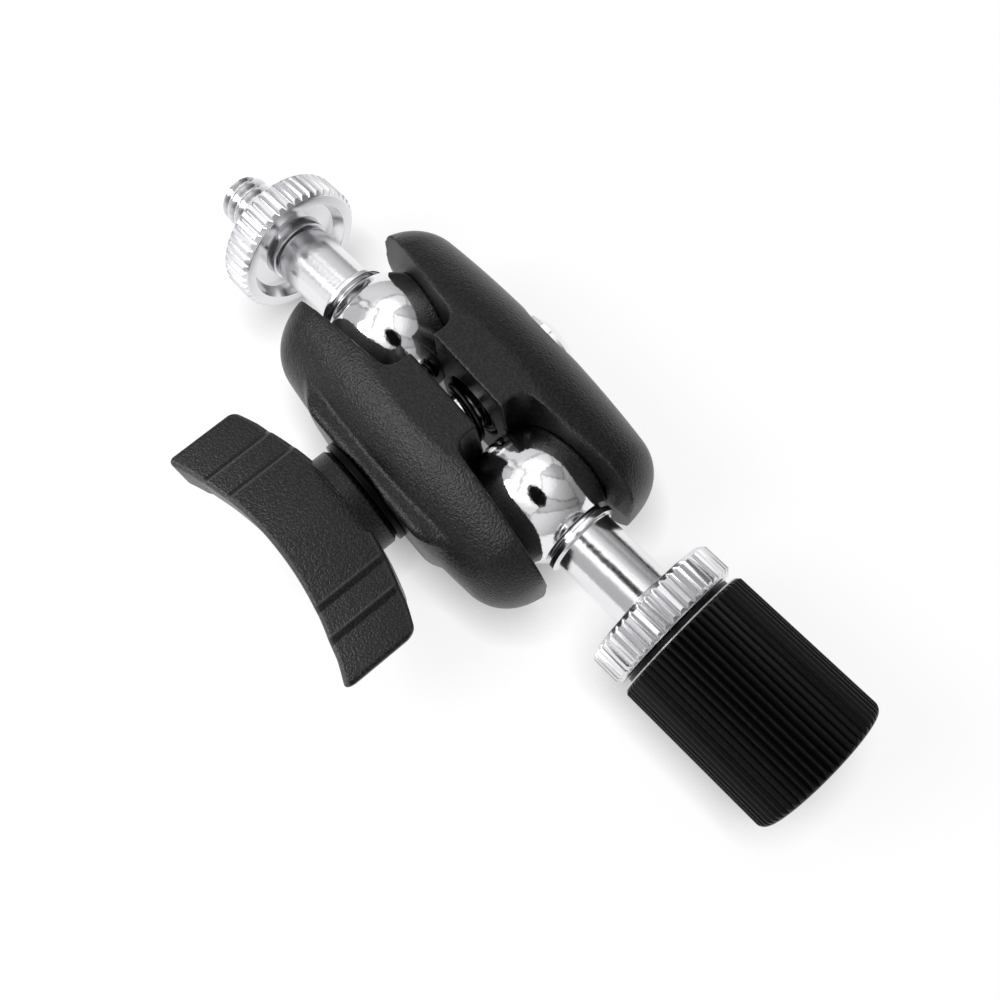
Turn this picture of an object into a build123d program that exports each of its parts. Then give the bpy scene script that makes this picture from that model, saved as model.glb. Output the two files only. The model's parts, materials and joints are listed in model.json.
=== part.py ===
from build123d import *
import os
from math import cos, pi, radians, sin, sqrt, tan

# Double ball-joint adapter: two moulded jaws hold a ball stud at each end and are drawn
# together by one bolt and a wing knob. It lies on a flat side of the jaws. X runs along the
# jaws from the bare thread to the sleeve, Y from the knob to the bolt head, Z is up.
# All sizes are in millimetres and angles in degrees.

# Ball studs, measured along each stud from the centre of its ball
BALL_D = 15.0
BALL_INSET = 8.5
BALL_SPRING_ROOM = 1.5
COLLAR_D = 7.9
COLLAR_T = 0.5
LIP_D = 9.1
LIP_T = 0.7
NECK_D = 7.5
NECK_END = 16.1
THREAD_D = 6.35
THREAD_MEAN_D = 5.52
SPIGOT_D = 4.6
SPIGOT_LENGTH = 9.0
TOP_THREAD_END = 28.0
THREAD_LEAD_IN = 0.6
TOP_YAW = 4.2
BASE_YAW = 3.8

# Knurled lock nut
NUT_D = 16.7
NUT_T = 4.1
NUT_SEAT = 16.5
NUT_TEETH = 48
NUT_TOOTH_DEPTH = 0.5
NUT_CHAMFER = 0.5
NUT_DISH_D = 13.4
NUT_DISH_DEPTH = 1.5
NUT_DISH_DRAFT = 0.7
NUT_HUB_D = 8.0

# Fluted base sleeve
SLEEVE_START = 21.3
SLEEVE_D = 16.8
SLEEVE_LENGTH = 18.8
SLEEVE_FLUTES = 60
SLEEVE_FLUTE_DEPTH = 0.42
SLEEVE_CHAMFER = 0.5
SLEEVE_END_CHAMFER = 0.8
SLEEVE_STUD_DEPTH = 8.6
SOCKET_D = 6.35
SOCKET_DEPTH = 8.8
SOCKET_LEAD_IN = 0.5

# Jaws
JAW_HEIGHT = 18.9
JAW_GAP = 3.1
JAW_BACK = 13.4
JAW_ROUND_R = 9.82
JAW_CROWN_R = 150.0
JAW_CORNER_R = 5.6
MOUTH_ROOT = 5.5
MOUTH_ROOT_HALF = 4.7
MOUTH_TIP_HALF = 6.6
MOUTH_CORNER_R = 1.8
MOUTH_LEAN = 5.0
PAD_FACE = 13.45
PAD_ROOT = 9.5
PAD_LENGTH = 27.0
PAD_HEIGHT = 11.5
PAD_CORNER_R = 3.6
PAD_EDGE_R = 0.8

# Clamp bolt, spring and washer
BOLT_D = 5.0
BOLT_PITCH = 0.8
HEAD_D = 9.2
HEAD_H = 2.2
HEAD_RIM = 0.5
HEAD_SEAT = 12.2
HEAD_RECESS_D = 10.2
SQUARE_SIDE = 5.4
SQUARE_LENGTH = 2.6
BOLT_REACH = 21.2
SPRING_D = 7.4
SPRING_WIRE = 0.8
SPRING_TURNS = 4
SPRING_WIRE_SIDES = 8
SPRING_POCKET_D = 8.2
SPRING_POCKET_DEPTH = 3.0
WASHER_D = 13.0
WASHER_T = 0.8

# Wing knob
HUB_D = 12.5
HUB_LENGTH = 1.65
HUB_CHAMFER = 0.5
HUB_OVERLAP = 0.5
WING_SPAN = 32.0
WING_BAND = 9.2
WING_SAGITTA = 3.6
WING_TIP_T = 5.0
WING_STEP_H = 0.45
WING_INNER_STEP = 7.8
WING_OUTER_STEP = 11.2
WING_RISER = 0.7
WING_CROWN_T = 8.2
WING_CORNER_R = 0.9
INSERT_D = 6.6
INSERT_END_ROOM = 0.85

# Clearances
SLIDE_GAP = 0.10
TURN_GAP = 0.04
FACE_GAP = 0.05
PRESS_GAP = 0.02

BALL_R = BALL_D / 2
BALL_X = BALL_R + BALL_SPRING_ROOM + SPRING_D / 2
JAW_LENGTH = 2 * (BALL_X + BALL_INSET)
LIP_AT = sqrt(BALL_R**2 - (LIP_D / 2) ** 2)
JAW_HALF = JAW_HEIGHT / 2
JAW_FACE = JAW_GAP / 2
JAW_AXIS = JAW_BACK - JAW_ROUND_R
WASHER_FACE = PAD_FACE + WASHER_T
HUB_FACE = WASHER_FACE + FACE_GAP
WING_INNER = HUB_FACE + HUB_LENGTH
WING_OUTER = WING_INNER + WING_BAND
INSERT_END = BOLT_REACH + INSERT_END_ROOM
SPRING_HALF = JAW_FACE + SPRING_POCKET_DEPTH


def along_y(radius, start, end):
    """A round bar on the clamp axis from y = start to y = end."""
    bar = Cylinder(radius, end - start, align=(Align.CENTER, Align.CENTER, Align.MIN))
    return Location((0, start, 0), (-90, 0, 0)) * bar


def turned(points):
    """A solid turned about X from (x, radius) points that run out along the profile."""
    first, last = points[0], points[-1]
    outline = Polyline((first[0], 0), *points, (last[0], 0), close=True)
    return revolve(make_face(outline), axis=Axis.X)


def ring(inner, points):
    """A turned solid with a plain bore of the given radius."""
    first, last = points[0], points[-1]
    outline = Polyline((first[0], inner), *points, (last[0], inner), close=True)
    return revolve(make_face(outline), axis=Axis.X)


def toothed_bar(diameter, depth, count, start, length):
    """A straight knurl along X: a star of V teeth drawn out along its axis."""
    outer = diameter / 2
    star = []
    for step in range(2 * count):
        radius = outer if step % 2 == 0 else outer - depth
        angle = pi * step / count
        star.append((radius * cos(angle), radius * sin(angle)))
    face = make_face(Polyline(*star, close=True))
    return extrude(Location((start, 0, 0), (0, 90, 0)) * face, amount=length)


# Jaws

def jaw_profile():
    """Upper half of the jaw seen along Y: a low crown with rounded ends."""
    end_height = JAW_ROUND_R - (JAW_CROWN_R - sqrt(JAW_CROWN_R**2 - (JAW_LENGTH / 2) ** 2))
    left, right = (-JAW_LENGTH / 2, end_height), (JAW_LENGTH / 2, end_height)
    crown = ThreePointArc(left, (0, JAW_ROUND_R), right)
    base = Polyline(right, (JAW_LENGTH / 2, 0), (-JAW_LENGTH / 2, 0), left)
    face = make_face(crown + base)
    corners = face.vertices().sort_by(Axis.Y)[-2:]
    return fillet(corners, JAW_CORNER_R)


def jaw_blank():
    """D-shaped half shell on +Y: a slab by the gap, a turned full-round back and two flat sides."""
    upper = jaw_profile()
    both = upper + mirror(upper, about=Plane.XZ)
    slab = extrude(Plane.XZ.offset(-JAW_FACE) * both, amount=JAW_AXIS - JAW_FACE, dir=(0, 1, 0))
    spine = Axis((0, JAW_AXIS, 0), (-1, 0, 0))
    back = revolve(Plane.XZ.offset(-JAW_AXIS) * upper, axis=spine, revolution_arc=180)
    between_flats = Pos(0, JAW_AXIS, 0) * Box(2 * JAW_LENGTH, 4 * JAW_BACK, JAW_HEIGHT)
    return (slab + back) & between_flats


def jaw_mouths():
    """Flared openings for the necks at both ends, with walls that lean out to the faces."""
    reach = JAW_LENGTH / 2 + BALL_D
    flare = (MOUTH_TIP_HALF - MOUTH_ROOT_HALF) / (JAW_LENGTH / 2 - MOUTH_ROOT)
    narrowing = JAW_HALF * tan(radians(MOUTH_LEAN))
    root = MOUTH_ROOT + narrowing
    root_half = MOUTH_ROOT_HALF - narrowing
    tip_half = MOUTH_ROOT_HALF + flare * (reach - MOUTH_ROOT) - narrowing
    outline = Polyline((root, -root_half), (reach, -tip_half), (reach, tip_half), (root, root_half), close=True)
    face = make_face(outline)
    face = fillet(face.vertices().sort_by(Axis.X)[:2], MOUTH_CORNER_R - narrowing)
    upper = extrude(face, amount=JAW_HEIGHT, taper=-MOUTH_LEAN)
    one_end = upper + mirror(upper, about=Plane.XY)
    return one_end + mirror(one_end, about=Plane.YZ)


def jaw_hollows():
    """The mouths, ball seats a running clearance larger than the balls, spring pocket and bolt hole."""
    seat = Sphere(BALL_R + TURN_GAP)
    seats = Pos(-BALL_X, 0, 0) * seat + Pos(BALL_X, 0, 0) * seat
    pocket = along_y(SPRING_POCKET_D / 2, 0, SPRING_HALF)
    return jaw_mouths() + seats + pocket + along_y(BOLT_D / 2 + SLIDE_GAP, 0, PAD_FACE)


def bolt_side_jaw():
    square = SQUARE_SIDE + 2 * SLIDE_GAP
    neck_hole = Pos(0, HEAD_SEAT, 0) * Box(square, 2 * SQUARE_LENGTH + SLIDE_GAP, square)
    body = jaw_blank() - jaw_hollows()
    return body - neck_hole - along_y(HEAD_RECESS_D / 2, HEAD_SEAT, JAW_BACK + HEAD_H)


def knob_pad():
    """Long flat pad on the knob side's back, which the washer bears on."""
    half = PAD_LENGTH / 2
    outline = Polyline((-half, PAD_ROOT), (-half, PAD_FACE), (half, PAD_FACE), (half, PAD_ROOT), close=True)
    face = make_face(outline)
    face = fillet(face.vertices().sort_by(Axis.Y)[-2:], PAD_CORNER_R)
    pad = extrude(face, amount=PAD_HEIGHT / 2, both=True)
    rims = pad.faces().sort_by(Axis.Z)[0].edges() + pad.faces().sort_by(Axis.Z)[-1].edges()
    outer = [edge for edge in rims if edge.center().Y > PAD_ROOT + PAD_EDGE_R]
    return fillet(outer, PAD_EDGE_R)


def knob_side_jaw():
    return Rot(0, 0, 180) * (jaw_blank() + knob_pad() - jaw_hollows())


# Clamp

def clamp_bolt():
    """Coach bolt: low dome, square neck that stops it turning, and a plain shank for the thread."""
    rim = HEAD_D / 2
    dome = HEAD_H - HEAD_RIM
    outline = Line((0, HEAD_SEAT), (rim, HEAD_SEAT)) + Line((rim, HEAD_SEAT), (rim, HEAD_SEAT + HEAD_RIM))
    sphere_r = (rim**2 + dome**2) / (2 * dome)
    half_angle_x = rim / 2
    mid_y = HEAD_SEAT + HEAD_H - sphere_r + sqrt(sphere_r**2 - half_angle_x**2)
    outline += ThreePointArc((rim, HEAD_SEAT + HEAD_RIM), (half_angle_x, mid_y), (0, HEAD_SEAT + HEAD_H))
    outline += Line((0, HEAD_SEAT + HEAD_H), (0, HEAD_SEAT))
    head = revolve(make_face(outline), axis=Axis.Y)
    neck = Pos(0, HEAD_SEAT - SQUARE_LENGTH / 2, 0) * Box(SQUARE_SIDE, SQUARE_LENGTH, SQUARE_SIDE)
    shank = along_y(BOLT_D / 2, -BOLT_REACH, HEAD_SEAT)
    tip = shank.edges().sort_by(Axis.Y)[:1]
    return head + neck + chamfer(tip, THREAD_LEAD_IN)


def helix_point(turn, pitch, radius, start):
    """Point and direction of a coil about Y after a number of turns."""
    angle = 2 * pi * turn
    point = Vector(radius * cos(angle), start + pitch * turn, radius * sin(angle))
    direction = Vector(-2 * pi * radius * sin(angle), pitch, 2 * pi * radius * cos(angle))
    return point, direction.normalized()


def biarc(start, start_dir, end, end_dir):
    """Two tangent arcs that leave start and reach end in the given directions."""
    chord = end - start
    turn = 2 * (1 - start_dir.dot(end_dir))
    lead = chord.dot(start_dir + end_dir)
    reach = (-lead + sqrt(lead**2 + turn * chord.dot(chord))) / turn
    joint = (start + end + (start_dir - end_dir) * reach) / 2
    first = TangentArc(start, joint, tangent=start_dir)
    second = TangentArc(end, joint, tangent=end_dir * -1)
    return first, second


def opening_spring():
    """Open coil between the two pockets, wound as tangent arcs of a quarter turn."""
    radius = (SPRING_D - SPRING_WIRE) / 2
    start = -SPRING_HALF + SPRING_WIRE / 2 + FACE_GAP
    pitch = -2 * start / SPRING_TURNS
    path = []
    for half in range(2 * SPRING_TURNS):
        here = helix_point(half / 2, pitch, radius, start)
        there = helix_point((half + 1) / 2, pitch, radius, start)
        path.extend(biarc(*here, *there))
    print(f"spring: least gap between turns {pitch - SPRING_WIRE:.2f} mm")
    wire = Wire(path)
    origin, direction = helix_point(0, pitch, radius, start)
    section = Plane(origin=origin, z_dir=direction) * RegularPolygon(SPRING_WIRE / 2, SPRING_WIRE_SIDES)
    return sweep(section, path=wire)


def knob_washer():
    hole = along_y(BOLT_D / 2 + SLIDE_GAP, -WASHER_FACE, -PAD_FACE)
    return along_y(WASHER_D / 2, -WASHER_FACE, -PAD_FACE) - hole


def wing_outline():
    """The wing seen along Z: a bowed band of even width with ends along Y."""
    half = WING_SPAN / 2
    inner = ThreePointArc((-half, -WING_INNER - WING_SAGITTA), (0, -WING_INNER), (half, -WING_INNER - WING_SAGITTA))
    outer = ThreePointArc((-half, -WING_OUTER - WING_SAGITTA), (0, -WING_OUTER), (half, -WING_OUTER - WING_SAGITTA))
    left = Line(outer @ 0, inner @ 0)
    right = Line(outer @ 1, inner @ 1)
    face = make_face(inner + outer + left + right)
    return fillet(face.vertices(), WING_CORNER_R)


def wing_thickness():
    """The wing seen along Y: a crowned middle with two steps down to each tip."""
    tip = WING_TIP_T / 2
    middle = tip + WING_STEP_H
    centre = middle + WING_STEP_H
    right = [
        (0, WING_CROWN_T / 2),
        (WING_INNER_STEP, centre),
        (WING_INNER_STEP + WING_RISER, middle),
        (WING_OUTER_STEP, middle),
        (WING_OUTER_STEP + WING_RISER, tip),
        (WING_SPAN, tip),
    ]
    left = [(-x, z) for x, z in reversed(right[1:])]
    upper = left + right
    lower = [(x, -z) for x, z in reversed(upper)]
    return make_face(Polyline(*upper, *lower, close=True))


def wing_knob():
    """Wing and hub moulded in one piece, bored for the threaded insert."""
    depth = WING_OUTER + WING_SAGITTA
    band = extrude(wing_outline(), amount=WING_CROWN_T, both=True)
    steps = extrude(Plane.XZ * wing_thickness(), amount=depth, dir=(0, -1, 0))
    wing = band & steps
    hub = along_y(HUB_D / 2, -WING_INNER - WING_SAGITTA / 2, -HUB_FACE)
    hub = chamfer(hub.edges().sort_by(Axis.Y)[-1:], HUB_CHAMFER)
    hub = hub - Pos(0, -HUB_OVERLAP, 0) * band
    return wing + hub - along_y(INSERT_D / 2 + PRESS_GAP, -INSERT_END, -HUB_FACE)


def knob_insert():
    bore = along_y(BOLT_D / 2 + TURN_GAP, -INSERT_END, -HUB_FACE)
    return along_y(INSERT_D / 2, -INSERT_END, -HUB_FACE) - bore


# Ball studs, built along +X from the ball's centre

def ball():
    """Ball cut flat under the stud's lip, with the bore that takes the stud's spigot."""
    flat = Pos(LIP_AT + BALL_R, 0, 0) * Box(BALL_D, BALL_D, BALL_D)
    bore_start = LIP_AT - SPIGOT_LENGTH - FACE_GAP
    bore = turned([(bore_start, SPIGOT_D / 2 + TURN_GAP), (LIP_AT + FACE_GAP, SPIGOT_D / 2 + TURN_GAP)])
    return Sphere(BALL_R) - flat - bore


def shank_outline(end):
    """Outline of the spigot, collar, lip, neck and a plain shank of the thread's mean size, which the nut grips."""
    collar = LIP_AT + FACE_GAP
    lip = collar + COLLAR_T
    return [
        (LIP_AT - SPIGOT_LENGTH, SPIGOT_D / 2),
        (collar, SPIGOT_D / 2),
        (collar, COLLAR_D / 2),
        (lip, COLLAR_D / 2),
        (lip, LIP_D / 2),
        (lip + LIP_T, LIP_D / 2),
        (lip + LIP_T, NECK_D / 2),
        (NECK_END, NECK_D / 2),
        (NECK_END, THREAD_MEAN_D / 2),
        (end, THREAD_MEAN_D / 2),
    ]


def top_stud():
    """Stud whose bare thread, past the nut, is a plain cylinder of the thread's outer size."""
    bare = NUT_SEAT + NUT_T + FACE_GAP
    return turned(shank_outline(bare) + [
        (bare, THREAD_D / 2),
        (TOP_THREAD_END - THREAD_LEAD_IN, THREAD_D / 2),
        (TOP_THREAD_END, THREAD_D / 2 - THREAD_LEAD_IN),
    ])


def base_stud():
    """Stud whose whole thread is inside the nut and the sleeve."""
    return turned(shank_outline(SLEEVE_START + SLEEVE_STUD_DEPTH - FACE_GAP))


def lock_nut():
    """Knurled thumb nut, chamfered both sides and dished round its hub on the ball's side."""
    rim, end = NUT_D / 2, NUT_SEAT + NUT_T
    bore = THREAD_MEAN_D / 2 + TURN_GAP
    blank = ring(bore, [
        (NUT_SEAT, rim - NUT_CHAMFER),
        (NUT_SEAT + NUT_CHAMFER, rim),
        (end - NUT_CHAMFER, rim),
        (end, rim - NUT_CHAMFER),
    ])
    floor = NUT_SEAT + NUT_DISH_DEPTH
    dish = ring(NUT_HUB_D / 2, [
        (NUT_SEAT - FACE_GAP, NUT_DISH_D / 2),
        (floor, NUT_DISH_D / 2 - NUT_DISH_DRAFT),
    ])
    return (blank & toothed_bar(NUT_D, NUT_TOOTH_DEPTH, NUT_TEETH, NUT_SEAT, NUT_T)) - dish


def base_sleeve():
    """Fluted coupling with one thread for the stud and one for the support, either side of a web."""
    rim, end = SLEEVE_D / 2, SLEEVE_START + SLEEVE_LENGTH
    blank = turned([
        (SLEEVE_START, rim - SLEEVE_CHAMFER),
        (SLEEVE_START + SLEEVE_CHAMFER, rim),
        (end - SLEEVE_END_CHAMFER, rim),
        (end, rim - SLEEVE_END_CHAMFER),
    ])
    flutes = toothed_bar(SLEEVE_D, SLEEVE_FLUTE_DEPTH, SLEEVE_FLUTES, SLEEVE_START, SLEEVE_LENGTH)
    stud_end = SLEEVE_START + SLEEVE_STUD_DEPTH
    stud_r = THREAD_MEAN_D / 2 + TURN_GAP
    socket_r = SOCKET_D / 2
    stud_hole = turned([(SLEEVE_START, stud_r), (stud_end, stud_r)])
    socket = turned([
        (end - SOCKET_DEPTH, socket_r),
        (end - SOCKET_LEAD_IN, socket_r),
        (end, socket_r + SOCKET_LEAD_IN),
    ])
    return (blank & flutes) - stud_hole - socket


def place_top(shape):
    """Sets a stud piece in the left socket, pointing along -X and turned a little to the knob."""
    return Location((-BALL_X, 0, 0), (0, 0, 180 + TOP_YAW)) * shape


def place_base(shape):
    """Sets a stud piece in the right socket, pointing along +X and turned a little to the bolt."""
    return Location((BALL_X, 0, 0), (0, 0, BASE_YAW)) * shape


PARTS = {
    "knob_side_jaw": knob_side_jaw(),
    "bolt_side_jaw": bolt_side_jaw(),
    "clamp_bolt": clamp_bolt(),
    "opening_spring": opening_spring(),
    "knob_washer": knob_washer(),
    "wing_knob": wing_knob(),
    "knob_insert": knob_insert(),
    "top_ball": place_top(ball()),
    "top_stud": place_top(top_stud()),
    "top_lock_nut": place_top(lock_nut()),
    "base_ball": place_base(ball()),
    "base_stud": place_base(base_stud()),
    "base_lock_nut": place_base(lock_nut()),
    "base_sleeve": place_base(base_sleeve()),
}

# The row's origin is under the middle of the whole adapter, on the surface it lies on.
boxes = [shape.bounding_box() for shape in PARTS.values()]
low_x, high_x = min(box.min.X for box in boxes), max(box.max.X for box in boxes)
low_y, high_y = min(box.min.Y for box in boxes), max(box.max.Y for box in boxes)
SHIFT = Vector(-(low_x + high_x) / 2, -(low_y + high_y) / 2, -min(box.min.Z for box in boxes))

os.makedirs("parts", exist_ok=True)
for name, shape in PARTS.items():
    export_step(Pos(SHIFT) * shape, f"parts/{name}.step")
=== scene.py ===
import json

import bmesh
import bpy
import numpy as np
from mathutils import Matrix


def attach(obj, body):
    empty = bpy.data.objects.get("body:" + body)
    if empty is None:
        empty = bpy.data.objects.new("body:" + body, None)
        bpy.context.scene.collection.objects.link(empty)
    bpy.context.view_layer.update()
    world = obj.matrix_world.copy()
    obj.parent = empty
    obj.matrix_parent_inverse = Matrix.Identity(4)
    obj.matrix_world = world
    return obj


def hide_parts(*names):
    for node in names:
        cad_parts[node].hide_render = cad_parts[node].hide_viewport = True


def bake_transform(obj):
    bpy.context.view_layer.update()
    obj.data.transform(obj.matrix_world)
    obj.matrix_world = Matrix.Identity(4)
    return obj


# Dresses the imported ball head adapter: moulded jaws and wing, chrome balls, necks and nuts, a fluted
# black sleeve. Pieces are worked out in millimetres about the clamp's centre and put in the frame.
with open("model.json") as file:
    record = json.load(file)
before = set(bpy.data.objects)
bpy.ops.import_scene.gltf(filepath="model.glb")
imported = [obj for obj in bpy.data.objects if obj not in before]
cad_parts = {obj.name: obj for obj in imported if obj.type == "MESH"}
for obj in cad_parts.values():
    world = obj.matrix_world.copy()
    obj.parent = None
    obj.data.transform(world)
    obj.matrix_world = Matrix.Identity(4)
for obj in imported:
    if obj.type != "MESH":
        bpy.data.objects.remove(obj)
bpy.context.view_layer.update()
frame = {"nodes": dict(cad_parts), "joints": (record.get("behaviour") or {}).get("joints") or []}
scene = bpy.context.scene
joints = {joint["name"]: joint for joint in frame["joints"]}
MM = 0.001
CLAMP = np.array(joints["knob_turn"]["pos_m"]) / MM
TOP_CENTRE = np.array(joints["top_swing"]["pos_m"]) / MM
TOP_AXIS = np.array(joints["top_spin"]["axis"])
BASE_CENTRE = np.array(joints["base_swing"]["pos_m"]) / MM
BASE_AXIS = np.array(joints["base_spin"]["axis"])
UP = np.array([0.0, 0.0, 1.0])
SAME_PLACE = 1e-4
NO_LENGTH = 1e-5

# Camera of the photograph, about the clamp's centre: place, unit directions, focal length and frame width
CAMERA_AT = np.array([39.901, -20.856, 103.527])
CAMERA_RIGHT = np.array([0.64262, 0.76433, -0.05331])
CAMERA_DOWN = np.array([0.71715, -0.62452, -0.30930])
CAMERA_FORWARD = np.array([-0.26971, 0.16053, -0.94947])
CAMERA_LENS = 35.99
CAMERA_FRAME = 36.0

# Ball studs, along each stud from the ball's centre
BALL_R = 7.5
EDGE_R = 0.15
COLLAR_R = 3.95
COLLAR_T = 0.5
LIP_R = 4.55
LIP_T = 0.7
NECK_R = 3.75
NECK_END = 16.1
SPIGOT_R = 2.3
SPIGOT_LENGTH = 9.0
BORE_GAP = 0.04
FACE_GAP = 0.05
THREAD_R = 3.175
THREAD_MEAN_R = 2.76
THREAD_DEPTH = 0.70
THREAD_PITCH = 1.27
CREST_FLAT = 0.125
ROOT_FLAT = 0.25
SHANK_STEP = 0.1
TOP_THREAD_END = 28.0
LEAD_IN = 0.6
LIP_AT = np.sqrt(BALL_R**2 - LIP_R**2)

# Jaws
JAW_ROUND_R = 9.82
JAW_CROWN_R = 150.0
JAW_AXIS = 3.58
PAD_ROOT = 9.5
PAD_HALF = 13.5
PAD_FADE = 5.0
MOULD_GRID = 0.2
MOULD_WELD = 1e-3
MOULD_SMOOTHING = 0.5
MOULD_ROUNDS = 3
# Convexity at which the nylon starts and ends being painted paler, as wear and as a painted edge
# highlight
RUB_HIGHLIGHT_START = 0.10
RUB_HIGHLIGHT_FULL = 0.36

# Lock nut
NUT_R = 8.35
NUT_SEAT = 16.5
NUT_T = 4.1
NUT_TEETH = 48
NUT_TOOTH_DEPTH = 0.42
NUT_CREST = 0.45
RIM_VALUE = 0.8
NUT_CHAMFER = 0.5
NUT_EDGE_R = 0.12
NUT_LEAD = 0.05
NUT_DISH_R = 6.7
NUT_DISH_DRAFT = 0.7
NUT_DISH_DEPTH = 1.5
NUT_HUB_R = 4.0

# Sleeve
SLEEVE_START = 21.3
SLEEVE_R = 8.4
SLEEVE_LENGTH = 18.8
SLEEVE_FLUTES = 60
SLEEVE_FLUTE_DEPTH = 0.38
SLEEVE_CREST = 0.16
SLEEVE_CHAMFER = 0.45
SLEEVE_LEAD = 0.03
SHOULDER_R = 7.1
EDGE_VALUE = 2.0
EDGE_WIDTH = 0.16
SHOULDER_T = 0.55
SLEEVE_END_R = 0.9
SLEEVE_STUD_DEPTH = 8.6
SOCKET_R = 3.175
SOCKET_DEPTH = 8.8
SOCKET_CHAMFER = 0.5

# Clamp bolt, spring, washer and wing knob, from the clamp's centre out along the clamp axis
BOLT_R = 2.5
BOLT_PITCH = 0.8
BOLT_THREAD_AT = 14.0
BOLT_THREAD_DEPTH = 0.4
HEAD_R = 4.6
HEAD_SEAT = 12.2
HEAD_RIM = 0.5
HEAD_H = 2.2
BOLT_REACH = 21.2
SPRING_R = 3.3
SPRING_WIRE_R = 0.4
SPRING_TURNS = 4
SPRING_HALF = 4.1
WASHER_R = 6.5
WASHER_FACE = 13.45
WASHER_T = 0.8
WASHER_BORE_GAP = 0.1
HUB_R = 6.25
HUB_FACE = 14.3
HUB_CHAMFER = 0.5
HUB_OVERLAP = 0.5
HUB_EDGE_R = 0.3
WING_SPAN = 32.0
WING_INNER = 15.95
WING_BAND = 9.2
WING_SAGITTA = 3.6
WING_EDGE_R = 0.6
WING_END_LEAN = 0.22
WING_CORNER_R = 0.9
WING_CORNER_CUT = 0.8
WING_TIP_GAP = 0.05
WING_STEP_ROWS = 0.12
WING_STEP_BLUR = 0.05
WING_RUB_HIGHLIGHT_WIDTH = 0.10
WING_THICKNESS_AT = (0.0, 7.8, 8.5, 11.2, 11.9, 16.0)
WING_HALF_THICKNESS = (4.1, 3.4, 2.95, 2.95, 2.5, 2.5)
INSERT_R = 3.3
INSERT_SEAT = 1.5

# Finishes: the sizes of their patterns. The nylon's grain and the plate's peel are drawn about twice as
# coarse as real ones, so that they show.
NYLON_GRAIN = 0.26
NYLON_GRAIN_DEPTH = 0.10
NYLON_CLOUD = 4.0
CHROME_WAVE = 2.0
CHROME_PEEL = 0.4
CHROME_DEPTH = 0.02
KNURL_SPECKLE = 0.3
ANODISED_RUB_HIGHLIGHT = 0.5
METAL_STREAK = 0.2

# Stage: directions from the clamp's centre to the key light, the tent's bright roof and a dark flag
KEY_SIDE = (-0.36, -0.60, 0.71)
ROOF_SIDE = (-0.12, -0.04, 0.99)
FLAG_SIDE = (0.15, 1.00, 0.20)
FLOOR_HALF = 2000.0
FLOOR_SHADOW = 6.0
TENT_PANELS = 1.3
HOOD_BEHIND = 12.0


def linear(hex_code):
    """Linear RGBA of an sRGB hex colour."""
    srgb = np.array([int(hex_code[i:i + 2], 16) for i in (1, 3, 5)]) / 255
    low, high = srgb / 12.92, ((srgb + 0.055) / 1.055) ** 2.4
    return (*np.where(srgb <= 0.04045, low, high), 1.0)


def add(tree, kind, settings=None, links=None, **properties):
    """Adds a node: properties on the node, settings and links on its named inputs."""
    node = tree.nodes.new(kind)
    for name, value in properties.items():
        setattr(node, name, value)
    for name, value in (settings or {}).items():
        node.inputs[name].default_value = value
    for name, source in (links or {}).items():
        tree.links.new(source, node.inputs[name])
    return node


def shader(name, settings):
    """A material with one principled shader, returned with its node tree and that shader."""
    material = bpy.data.materials.new(name)
    material.use_nodes = True
    tree = material.node_tree
    surface = tree.nodes["Principled BSDF"]
    for socket, value in settings.items():
        surface.inputs[socket].default_value = value
    return material, tree, surface


def moulded_nylon():
    """Black glass-filled nylon from a spark-eroded mould: a grain that breaks up every highlight, a sheen
    that drifts over some millimetres, and corners painted paler, partly as rubbing and partly as a
    painted highlight."""
    material, tree, surface = shader("moulded_nylon", {"Specular IOR Level": 0.30})
    place = add(tree, "ShaderNodeTexCoord").outputs["Object"]
    grain_size = {"Scale": 1 / (NYLON_GRAIN * MM), "Detail": 2.0}
    grain = add(tree, "ShaderNodeTexNoise", grain_size, {"Vector": place}).outputs["Fac"]
    cloud_size = {"Scale": 1 / (NYLON_CLOUD * MM), "Detail": 2.0}
    cloud = add(tree, "ShaderNodeTexNoise", cloud_size, {"Vector": place}).outputs["Fac"]
    tint = add(tree, "ShaderNodeValToRGB", links={"Fac": grain})
    tint.color_ramp.elements[0].position = 0.40
    tint.color_ramp.elements[0].color = linear("#040404")
    tint.color_ramp.elements[1].position = 0.68
    tint.color_ramp.elements[1].color = linear("#262627")
    # painted highlight: convex corners are painted paler, partly as rubbed wear and partly as a painted
    # edge highlight
    rub = add(tree, "ShaderNodeAttribute", attribute_name="rub").outputs["Fac"]
    skin = {"Factor": rub, "A": tint.outputs["Color"]}
    worn_and_highlit = add(tree, "ShaderNodeMix", {"B": linear("#505052")}, skin, data_type="RGBA")
    sheen = add(tree, "ShaderNodeMapRange", {"To Min": 0.26, "To Max": 0.38}, {"Value": cloud})
    depth = {"Strength": 1.0, "Distance": NYLON_GRAIN_DEPTH * MM}
    bump = add(tree, "ShaderNodeBump", depth, {"Height": grain})
    tree.links.new(worn_and_highlit.outputs["Result"], surface.inputs["Base Color"])
    tree.links.new(sheen.outputs["Result"], surface.inputs["Roughness"])
    tree.links.new(bump.outputs["Normal"], surface.inputs["Normal"])
    return material


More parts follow.
